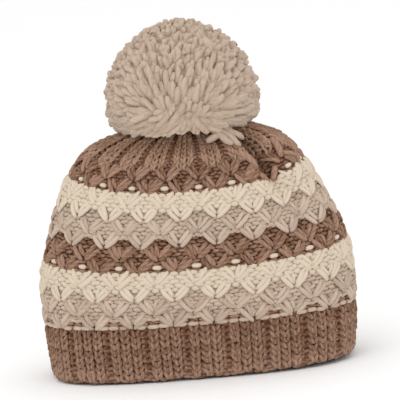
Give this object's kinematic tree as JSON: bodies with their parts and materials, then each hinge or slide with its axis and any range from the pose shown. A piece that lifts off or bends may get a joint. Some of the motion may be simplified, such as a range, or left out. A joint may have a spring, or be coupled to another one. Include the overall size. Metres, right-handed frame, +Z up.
{
  "type": "bobble hat",
  "caption": "Chunky knitted bobble hat that stands on its ribbed brim, with zigzag colour bands of V stitches, a gathered crown and a yarn pompom.",
  "frame": {"origin": "middle of the rim, on the plane that the hat rests on", "axes": "+Z up towards the pompom, -Y the front shown in the picture, +X to the right in the picture, the wide way of the hat"},
  "size_m": [0.2348, 0.1274, 0.2618],
  "materials": {
    "yarn_brown": "matte chunky brown yarn",
    "yarn_beige": "matte chunky pinkish beige yarn",
    "yarn_cream": "matte chunky cream yarn",
    "yarn_oatmeal": "matte fluffy oatmeal yarn ends"
  },
  "bodies": {
    "root": {"ribbed_brim": "yarn_brown", "beige_band_low": "yarn_beige", "cream_band_low": "yarn_cream", "brown_band": "yarn_brown", "beige_band_high": "yarn_beige", "cream_band_high": "yarn_cream", "brown_band_high": "yarn_brown", "gathered_crown": "yarn_brown", "pompom": "yarn_oatmeal", "pompom_tie": "yarn_brown"}
  },
  "joints": []
}
